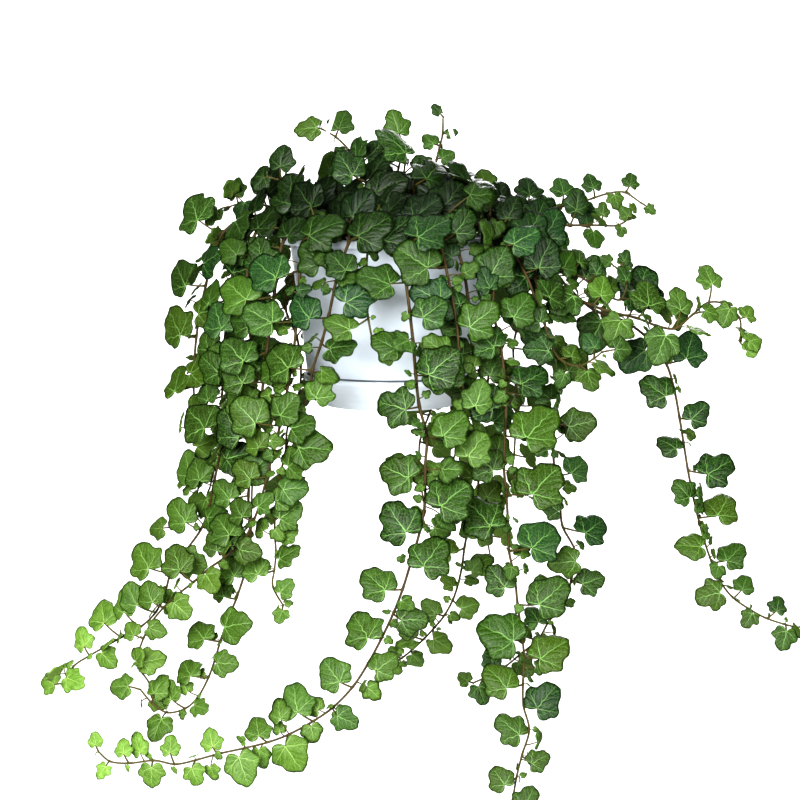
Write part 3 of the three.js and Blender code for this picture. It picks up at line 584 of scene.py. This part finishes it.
def add_tube(builder, line, radii, sides, youth):
    """A closed tube along a line, with a radius and a youth for each of its points."""
    level = abs((line[1] - line[0]).normalized().x) < 0.9
    side = Vector((1, 0, 0)) if level else Vector((0, 1, 0))
    points, tones = [], []
    for k, centre in enumerate(line):
        along = (line[min(k + 1, len(line) - 1)] - line[max(k - 1, 0)]).normalized()
        side = (side - along * side.dot(along)).normalized()
        across = along.cross(side)
        for j in range(sides):
            turn = 2 * math.pi * j / sides
            points.append(centre + (side * math.cos(turn) + across * math.sin(turn)) * radii[k])
            tones.append((youth[k], 0.0, 0.5, 0.0))
    faces = []
    for k in range(len(line) - 1):
        for j in range(sides):
            n = (j + 1) % sides
            faces.append((k * sides + j, k * sides + n, (k + 1) * sides + n, (k + 1) * sides + j))
    faces.append(tuple(reversed(range(sides))))
    last = (len(line) - 1) * sides
    faces.append(tuple(last + j for j in range(sides)))
    builder.add(points, faces, [(0.0, 0.0)] * len(points), tones, STEM_SLOT)


@cache
def outline_points(count, lobing):
    """The blade's outline as count points from the stalk round the right side and back.

    A lobing of 0 fills its notches, and one of 1 deepens them.
    """
    fuller = []
    for x, y in FINE_OUTLINE:
        p = Vector((x, y, 0))
        fill = sum(most * math.exp(-(((p.y - middle) / reach) ** 2)) for most, middle, reach in NOTCHES)
        fuller.append(Vector((p.x * (1 + (0.5 - lobing) * fill), p.y, 0)))
    whole = fuller + [Vector((-p.x, p.y, 0)) for p in reversed(fuller[1:-1])]
    loop = [whole[-1]] + whole + whole[:2]
    fine = []
    for k in range(1, len(loop) - 2):
        fine += smooth_line(loop[k - 1 : k + 3], 6)[6:12]
    lengths = [0.0]
    closed = fine + [fine[0]]
    for a, b in zip(closed, closed[1:]):
        lengths.append(lengths[-1] + (b - a).length)
    out, k = [], 0
    for j in range(count):
        want = lengths[-1] * j / count
        while lengths[k + 1] < want:
            k += 1
        share = (want - lengths[k]) / max(1e-9, lengths[k + 1] - lengths[k])
        out.append(closed[k].lerp(closed[k + 1], share))
    return out


def add_blade(builder, leaf, settings, draw, tone, count, rings):
    """One fine blade: two faces that meet at the rim, quilted between the veins, with a waved edge."""
    youth, olive = tone
    outline = outline_points(count, round(draw.random() * LOBINGS) / LOBINGS)
    half = settings.thickness / 2 / leaf.length
    phase, waves = draw.random() * TURN, draw.choice(EDGE_WAVES)
    bulges = [(draw.choice(times), size, draw.random() * TURN) for times, size in EDGE_BULGES]
    fold = draw.uniform(-0.04, 0.16)
    chance = draw.random()
    centre = Vector((0, CAD_HUB * 0.72, 0))
    points, uvs, tones = [], [], []

    def lift_at(x, y, share, turn):
        angle = math.degrees(math.atan2(y - VEIN_ORIGIN, abs(x) + 1e-6))
        nearest = min(abs(angle - vein) for vein in VEIN_ANGLES)
        puff = settings.quilting * min(1.0, nearest / 26.0) * math.sin(math.pi * min(1, share * 1.06))
        ripple = settings.wave * share**3 * math.sin(waves * turn + phase)
        return puff + ripple + fold * abs(x) * 0.8

    def add_point(x, y, share, turn, face):
        lift = lift_at(x, y, share, turn)
        if share < 1:
            lift += face * half
        points.append(leaf.place(x, y, lift))
        uvs.append((x + 1.0, y + 1.0))
        tones.append((youth, 0.0 if face > 0 else 1.0, chance, olive))

    for face in (1, -1):
        add_point(centre.x, centre.y, 0.0, 0.0, face)
        for share in rings:
            for k, p in enumerate(outline):
                bulge = 0
                for times, size, start in bulges:
                    bulge += size * math.sin(times * 2 * math.pi * k / count + start)
                at = centre.lerp(p, share * (1 + bulge * share))
                add_point(at.x, at.y, share, 2 * math.pi * k / count, face)
    side = 1 + count * len(rings)
    faces = []
    for k in range(count):
        n = (k + 1) % count
        faces.append((0, 1 + k, 1 + n))
        faces.append((side, side + 1 + n, side + 1 + k))
        for r in range(len(rings) - 1):
            a, b = 1 + r * count, 1 + (r + 1) * count
            faces.append((a + k, b + k, b + n, a + n))
            # The two faces share the rim's points, so the underside's last ring is left unused.
            low = side + b if r < len(rings) - 2 else b
            faces.append((side + a + n, low + n, low + k, side + a + k))
    used = side + 1 + count * (len(rings) - 1)
    builder.add(points[:used], faces, uvs[:used], tones[:used], LEAF_SLOT)


def clamped(value):
    return max(0.0, min(1.0, value))


def crown_depth(place):
    """How deep a place is in the shaded crown above the pot, from 0 to 1."""
    rise = place.z - RIM_HEIGHT
    inwards = (SHADE_SIDE[0] - math.hypot(place.x, place.y)) / SHADE_SIDE[1]
    upwards = (rise - SHADE_FOOT[0]) / SHADE_FOOT[1]
    downwards = (SHADE_TOP[0] - rise) / SHADE_TOP[1]
    return clamped(inwards) * clamped(upwards) * clamped(downwards)


def tone_at(place, share, node, draw):
    """How young a leaf is, from 0 to 1, and how olive, up to 1, with painted shade below 0, down to -1 deep
    in the crown.
    """
    pale = 1.0 if node in PALE_TIPS else 0.35
    tip = pale * max(0.0, (share - TIP_START) / TIP_LENGTH) ** 1.1 * draw.uniform(0.6, 1.0)
    dull = 0.95 if node.startswith(OLIVE_VINES) else 0.4
    olive = dull * min(1.0, 0.15 + 1.3 * share) * draw.uniform(0.3, 1.0)
    depth = crown_depth(place)
    # Painted shade: the deeper a leaf stands in the crown, the less young paleness it keeps and the darker
    # its tone.
    youth = min(1.0, tip + 0.22 * draw.random() ** 3) * (1.0 - depth)
    # Painted shade: the shoots, tufts and right-hand vines keep little young paleness, and their tone may
    # fall below 0 towards near-black.
    if node.startswith(SHADE_PAINTED_VINES):
        youth *= 0.15
        olive = draw.uniform(-0.3, 0.6)
    return youth, olive * (1.0 - depth) - depth * draw.uniform(0.7, 1.0)


def add_stalk(builder, leaf, youth, thick):
    """The leaf's stalk: a thin bowed tube from inside the stem to the notch of its blade."""
    end = leaf.place(0.0, 0.07, -0.004)
    start = leaf.root
    span = end - start
    bow = (leaf.forward * 0.35 + leaf.normal * -0.25) * span.length * 0.3
    middle = start + span * 0.55 - bow * 0.5
    line = smooth_line([start - span.normalized() * 0.8 * MM, middle, end], 4)
    radius = [thick * (1.15 - 0.35 * k / (len(line) - 1)) for k in range(len(line))]
    add_tube(builder, line, radius, STALK_SIDES, [0.45 + 0.5 * youth] * len(line))


class Stem:
    """A vine's smooth middle line, with the radius and the share of the length at each of its points."""

    def __init__(self, rings, leaves):
        self.line = smooth_line([middle for middle, _ in rings], STEM_STEPS)
        last = len(self.line) - 1
        self.share = [k / last for k in range(last + 1)]
        self.radius = [rings[round(k / STEM_STEPS)][1] for k in range(last + 1)]
        # A stem swells a little where a stalk leaves it.
        self.joints = [self.nearest(leaf.root) for leaf in leaves]
        for k in set(self.joints):
            self.radius[k] *= 1.25
        self.radius[-1] *= 0.5

    def nearest(self, place):
        return min(range(len(self.line)), key=lambda k: (self.line[k] - place).length_squared)

    def way(self, k):
        return (self.line[min(k + 1, len(self.line) - 1)] - self.line[max(k - 1, 0)]).normalized()


class Crowd:
    """What already stands in the scene, against which each added leaf is tested."""

    def __init__(self):
        self.trees, self.fresh = [], []
        self.points, self.faces = [], []

    def add(self, points, faces):
        self.trees.append(BVHTree.FromPolygons(points, faces))

    def take(self, points, faces):
        """Keeps a shape and says True where it crosses nothing."""
        tree = BVHTree.FromPolygons(points, faces)
        if any(tree.overlap(other) for other in self.trees + self.fresh):
            return False
        start = len(self.points)
        self.fresh.append(tree)
        self.points += points
        self.faces += [tuple(start + k for k in face) for face in faces]
        if len(self.fresh) == CROWD_BATCH:
            self.add(self.points, self.faces)
            self.points, self.faces, self.fresh = [], [], []
        return True


def leaf_shadow(leaf, clear):
    """A blade's outline and its stalk as a few flat faces, the stalk starting a little off the stem."""
    outline = outline_points(SHADOW_SPOKES, 0.5)
    points = [leaf.place(0.0, 0.14, 0.0)] + [leaf.place(p.x, p.y, 0.0) for p in outline]
    faces = [(0, 1 + k, 1 + (k + 1) % SHADOW_SPOKES) for k in range(SHADOW_SPOKES)]
    end = leaf.place(0.0, 0.03, 0.0)
    span = end - leaf.root
    start = leaf.root + span.normalized() * min(clear, span.length * 0.5)
    side = leaf.right * 0.6 * MM
    faces.append(tuple(len(points) + k for k in range(4)))
    points += [start - side, start + side, end + side, end - side]
    return points, faces


def sprout(draw, root, tangent, size, stalk, lift):
    """A blade on a stalk that leaves the stem at its root and turns to the light, or upwards by lift."""
    outward = Vector((root.x, root.y, 0.0)).normalized()
    light = (outward * (1.0 - 0.7 * lift) + UP * (0.45 + 1.4 * lift)).normalized()
    aside = tangent.cross(light).normalized()
    hand = draw.choice((-1, 1))
    way = light * draw.uniform(0.2, 1.0) + aside * hand * draw.uniform(0.3, 1.1)
    way = (way + tangent * draw.uniform(-0.3, 0.5) + UP * lift).normalized()
    normal = light + aside * draw.uniform(-1.1, 1.1) + UP * draw.uniform(-0.6, 1.0)
    normal = (normal + outward * draw.uniform(-0.4, 0.5)).normalized()
    forward = way * 0.6 + aside * hand * draw.uniform(0.0, 0.9) + UP * draw.uniform(-0.7, 0.9)
    forward = (forward - normal * forward.dot(normal)).normalized()
    hub = root + way * stalk + forward * size * (CAD_HUB - 0.05)
    return Blade(hub, forward, normal, size, draw.uniform(0.85, 1.1), draw.uniform(0.0, 0.5), root)


def hides_strap(leaf):
    """True before the front left strap, which the photograph shows clear of leaves."""
    place = leaf.place(0.0, 0.45)
    rise = place.z - RIM_HEIGHT
    reach = STRAP_FOOT_RADIUS - STRAP_LEAN * rise
    # That strap stands 30 degrees in front of straight left.
    near = abs(place.x + reach * math.cos(math.radians(30))) < 0.004 + 0.55 * leaf.length
    return rise > 0.025 and near and place.y < 0.01 - 0.5 * reach


def add_grown(builder, crowd, leaf, settings, draw, tone, stem_radius, kind):
    """Adds the leaf and its stalk where they cross nothing."""
    if not crowd.take(*leaf_shadow(leaf, 2.2 * stem_radius)):
        return False
    add_blade(builder, leaf, settings, draw, tone, SMALL_SPOKES, SMALL_RINGS)
    add_stalk(builder, leaf, tone[0], STALK_RADIUS[kind])
    return True


def dress_vine(node, settings):
    """The fine stem, stalks and packed leaves of one vine, as a builder and its stem."""
    rings, leaves = read_plant(node)
    draw = random.Random(node)
    builder = Builder()
    stem = Stem(rings, leaves)
    youth = [max(0.0, share - TIP_START) * 1.6 for share in stem.share]
    add_tube(builder, stem.line, stem.radius, STEM_SIDES, youth)
    for leaf, joint in zip(leaves, stem.joints):
        tone = tone_at(leaf.hub, stem.share[joint], node, draw)
        add_blade(builder, leaf, settings, draw, tone, settings.spokes, LARGE_RINGS)
        add_stalk(builder, leaf, tone[0], STALK_RADIUS["packed"])
    return builder, stem


def fill_vine(node, builder, stem, crowd, settings, fill):
    """Grows one vine's smaller leaves between its packed ones, and up to two leaflets at each joint."""
    draw = random.Random(node + " fill")
    length = sum((b - a).length for a, b in zip(stem.line, stem.line[1:]))
    for _ in range(round(length / fill.spacing)):
        k = draw.randrange(2, len(stem.line) - 1)
        place, share = stem.line[k], stem.share[k]
        # The crown's own leaves fill the middle, and the leaves thin out towards the tip.
        if place.z > RIM_HEIGHT and math.hypot(place.x, place.y) < 0.06:
            continue
        if draw.random() < 0.75 * share:
            continue
        size = fill.smallest + (fill.largest - fill.smallest) * draw.random() ** 1.6
        youth, olive = tone_at(place, share, node, draw)
        tone = (min(1.0, youth + 0.12), olive)
        for _ in range(TRIES):
            leaf = sprout(draw, place, stem.way(k), size, size * draw.uniform(0.35, 1.0), 0.0)
            if hides_strap(leaf):
                continue
            if add_grown(builder, crowd, leaf, settings, draw, tone, stem.radius[k], "small"):
                break
    for k in stem.joints:
        for _ in range(2):
            size = draw.uniform(0.004, 0.009)
            leaf = sprout(draw, stem.line[k], stem.way(k), size, size * draw.uniform(0.4, 0.9), 0.0)
            youth, olive = tone_at(stem.line[k], stem.share[k], node, draw)
            tone = (youth + 0.2, olive)
            add_grown(builder, crowd, leaf, settings, draw, tone, stem.radius[k], "leaflet")


def fill_crown(stems, crowd, settings, fill):
    """The dense leaves on long stalks above the pot, which rise from the stems there."""
    draw = random.Random("crown")
    builder = Builder()
    places = [
        (stem, k)
        for stem in stems
        for k, p in enumerate(stem.line)
        if math.hypot(p.x, p.y) < 0.12 and p.z > RIM_HEIGHT - 0.005
    ]
    for _ in range(fill.crown_leaves):
        stem, k = draw.choice(places)
        root = stem.line[k]
        longest = 0.06 if root.z < RIM_HEIGHT + 0.03 else 0.035
        size = draw.uniform(0.016, 0.034)
        for _ in range(TRIES):
            stalk = draw.uniform(0.015, longest)
            leaf = sprout(draw, root, stem.way(k), size, stalk, draw.uniform(0.2, 1.2))
            # The crown is highest a little right of the pot's middle, and falls off faster to the left.
            side = leaf.hub.x - 0.03
            top = RIM_HEIGHT + 0.07 - (0.32 * side if side > 0 else -0.5 * side)
            if leaf.hub.z > top or hides_strap(leaf):
                continue
            # Painted shade: a crown leaf keeps no young paleness and darkens with its depth in the crown.
            tone = (0.0, -draw.uniform(0.7, 1.0) * crown_depth(leaf.hub))
            if add_grown(builder, crowd, leaf, settings, draw, tone, stem.radius[k], "crown"):
                break
    finish_plant(builder, "crown_leaves")


def finish_plant(builder, name, node=None):
    piece = builder.finish(name, [material_for("leaf"), material_for("stem")])
    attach(piece, BODY)
    if node:
        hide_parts(node)


# Moulded pieces


@contextmanager
def edited(mesh):
    """The mesh for editing, written back at the end."""
    work = bmesh.new()
    work.from_mesh(mesh)
    yield work
    work.to_mesh(mesh)
    work.free()


def rounded_sections(mesh):
    """Cuts each turned face in four round the pot's axis, and moves the cuts out to true circles."""
    with edited(mesh) as work:
        for k in range(2 * PACKED_SIDES):
            if k % 4 == 0:
                continue
            turn = math.pi * k / (2 * PACKED_SIDES)
            everything = work.verts[:] + work.edges[:] + work.faces[:]
            across = (-math.sin(turn), math.cos(turn), 0)
            bmesh.ops.bisect_plane(work, geom=everything, dist=1e-7, plane_co=(0, 0, 0), plane_no=across)
        facet = 2 * math.pi / PACKED_SIDES
        for v in work.verts:
            off = math.atan2(v.co.y, v.co.x) % facet - facet / 2
            spread = math.cos(off) / math.cos(facet / 2)
            v.co.x *= spread
            v.co.y *= spread


def rounded(piece, width):
    """Rounds the piece's sharp edges, with the modifier applied to its mesh, and smooths its shading."""
    bevel = piece.modifiers.new("Round", "BEVEL")
    bevel.width = width
    bevel.segments = BEVEL_SEGMENTS
    bevel.angle_limit = math.radians(BEVEL_FROM)
    depsgraph = bpy.context.evaluated_depsgraph_get()
    mesh = bpy.data.meshes.new_from_object(piece.evaluated_get(depsgraph))
    piece.modifiers.clear()
    piece.data = mesh
    mesh.polygons.foreach_set("use_smooth", [True] * len(mesh.polygons))
    with edited(mesh) as work:
        for edge in work.edges:
            if len(edge.link_faces) == 2 and edge.calc_face_angle(0.0) > math.radians(SHARP_FROM):
                edge.smooth = False


def from_node(node, name, material, width, turned=False):
    """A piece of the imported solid's own form, its edges rounded and, where turned, its sections too."""
    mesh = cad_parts[node].data.copy()
    mesh.materials.clear()
    mesh.materials.append(material_for(material))
    with edited(mesh) as work:
        bmesh.ops.remove_doubles(work, verts=work.verts, dist=WELD)
        flat = math.radians(1.0)
        bmesh.ops.dissolve_limit(work, angle_limit=flat, verts=work.verts, edges=work.edges)
    if turned:
        rounded_sections(mesh)
    piece = placed(name, mesh)
    rounded(piece, width)
    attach(piece, BODY)
    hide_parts(node)
    return piece


def paint_groove_shade(pot):
    """Gives the narrow groove above the saucer's lip a darker face, painted shade for the shadow in it."""
    pot.data.materials.append(material_for("groove"))
    least, most = GROOVE_DEPTH
    for face in pot.data.polygons:
        drop = RIM_HEIGHT - face.center.z
        depth = POT_RADIUS - POT_TAPER * drop - math.hypot(face.center.x, face.center.y)
        if abs(drop - GROOVE_DROP) < GROOVE_HALF_HEIGHT and least < depth < most:
            face.material_index = 1


# Operators


class BuildVines(Operator):
    """Replaces each packed vine by its fine stem and leaves, and grows the smaller leaves between them"""

    bl_idname = "ivy.build_vines"
    bl_label = "Build vines"

    def execute(self, context):
        settings, fill = context.scene.ivy_leaf, context.scene.ivy_fill
        crowd = Crowd()
        for node in ("pot", "saucer", "soil", *STRAPS):
            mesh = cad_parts[node].data
            crowd.add([v.co.copy() for v in mesh.vertices], [tuple(p.vertices) for p in mesh.polygons])
        dressed = {node: dress_vine(node, settings) for node in VINES}
        for builder, _ in dressed.values():
            crowd.add(builder.points, builder.faces)
        fill_crown([stem for _, stem in dressed.values()], crowd, settings, fill)
        for node, (builder, stem) in dressed.items():
            fill_vine(node, builder, stem, crowd, settings, fill)
            finish_plant(builder, f"fine_{node}", node)
        return {"FINISHED"}


class BuildPot(Operator):
    """Builds the white pot and its clip-on saucer"""

    bl_idname = "ivy.build_pot"
    bl_label = "Build pot and saucer"

    def execute(self, context):
        for node in ("pot", "saucer"):
            piece = from_node(node, f"fine_{node}", node, 0.4 * MM, turned=True)
            if node == "pot":
                paint_groove_shade(piece)
        return {"FINISHED"}


class BuildHanger(Operator):
    """Builds the hook and the three flat straps"""

    bl_idname = "ivy.build_hanger"
    bl_label = "Build hook and straps"

    def execute(self, context):
        for node in ("hook", *STRAPS):
            piece = from_node(node, f"fine_{node}", "hanger", 0.35 * MM)
        return {"FINISHED"}


class BuildSoil(Operator):
    """Builds the crumbly soil surface"""

    bl_idname = "ivy.build_soil"
    bl_label = "Build soil"

    def execute(self, context):
        piece = from_node("soil", "fine_soil", "soil", 0.3 * MM)
        return {"FINISHED"}


# The stage, in metres and watts: each sheet's corners, and each light's place, size and power.
WALL = [(-1.7, 5.0, -2.7), (1.7, 5.0, -2.7), (1.7, 5.0, 0.9), (-1.7, 5.0, 0.9)]
FLOOR = [(-3, -3, -2.4), (3, -3, -2.4), (3, 3, -2.4), (-3, 3, -2.4)]
LIGHTS = {
    "Key": ((-0.9, -2.5, 0.4), 1.4, 192.0),
    "Fill": ((1.5, -2.3, 0.0), 1.4, 104.0),
    "Top": ((0.0, 0.0, 1.8), 1.0, 16.0),
    "Back": ((0.5, 2.3, 0.9), 1.0, 50.0),
}
LIT_PLACE = Vector((0, 0, -0.45))
SKY_STRENGTH = 0.07
# The camera stands above its look-at place by an angle, and sees so far to each side of it.
LOOK_AT = Vector((0.0096, 0.0, -0.470))
CAMERA_DISTANCE = 2.3
CAMERA_RISE = 7.0
HALF_VIEW = 0.384


def plain_sheet(name, corners, material):
    mesh = bpy.data.meshes.new(name)
    mesh.from_pydata(corners, [], [(0, 1, 2, 3)])
    mesh.materials.append(material_for(material))
    return placed(name, mesh)


def aimed(name, data, place, target):
    """A lamp or camera at a place, turned to its target."""
    item = placed(name, data)
    item.location = place
    item.rotation_euler = (target - item.location).to_track_quat("-Z", "Y").to_euler()
    return item


class BuildStage(Operator):
    """Places the white wall and floor, the soft lights and the camera at the photograph's view"""

    bl_idname = "ivy.build_stage"
    bl_label = "Build stage"

    def execute(self, context):
        scene = context.scene
        wall = plain_sheet("Wall", WALL, "backdrop")
        floor = plain_sheet("Floor", FLOOR, "floor")
        for name, (place, size, power) in LIGHTS.items():
            data = bpy.data.lights.new(name, "AREA")
            data.size = size
            data.energy = power
            aimed(name, data, place, LIT_PLACE)
        world = bpy.data.worlds.new("Studio")
        world.use_nodes = True
        sky = world.node_tree.nodes["Background"]
        sky.inputs[0].default_value = linear("#ffffff")
        sky.inputs[1].default_value = SKY_STRENGTH
        scene.world = world
        scene.view_settings.view_transform = "Standard"
        scene.view_settings.look = "Medium High Contrast"
        camera = bpy.data.cameras.new("Photograph")
        camera.angle = 2 * math.atan(HALF_VIEW / CAMERA_DISTANCE)
        camera.dof.use_dof = False
        rise = math.radians(CAMERA_RISE)
        place = LOOK_AT + Vector((0.0, -math.cos(rise), math.sin(rise))) * CAMERA_DISTANCE
        scene.camera = aimed("Photograph", camera, place, LOOK_AT)
        return {"FINISHED"}


class IvyPanel(Panel):
    """The sidebar's panel with the plant's settings and its operators"""

    bl_idname = "VIEW3D_PT_ivy"
    bl_label = "Potted ivy"
    bl_space_type = "VIEW_3D"
    bl_region_type = "UI"
    bl_category = "Ivy"

    def draw(self, context):
        layout = self.layout
        for group in (context.scene.ivy_leaf, context.scene.ivy_fill):
            for key in group.__annotations__:
                layout.prop(group, key)
        for operator in OPERATORS:
            layout.operator(operator.bl_idname)


OPERATORS = (BuildPot, BuildHanger, BuildSoil, BuildVines, BuildStage)
CLASSES = (LeafSettings, FillSettings, *OPERATORS, IvyPanel)


def register():
    for item in CLASSES:
        bpy.utils.register_class(item)
    bpy.types.Scene.ivy_leaf = bpy.props.PointerProperty(type=LeafSettings)
    bpy.types.Scene.ivy_fill = bpy.props.PointerProperty(type=FillSettings)


def unregister():
    del bpy.types.Scene.ivy_fill
    del bpy.types.Scene.ivy_leaf
    for item in reversed(CLASSES):
        bpy.utils.unregister_class(item)


def main():
    register()
    bpy.ops.ivy.build_pot()
    bpy.ops.ivy.build_hanger()
    bpy.ops.ivy.build_soil()
    bpy.ops.ivy.build_vines()
    bpy.ops.ivy.build_stage()
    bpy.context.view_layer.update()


if __name__ == "__main__":
    main()
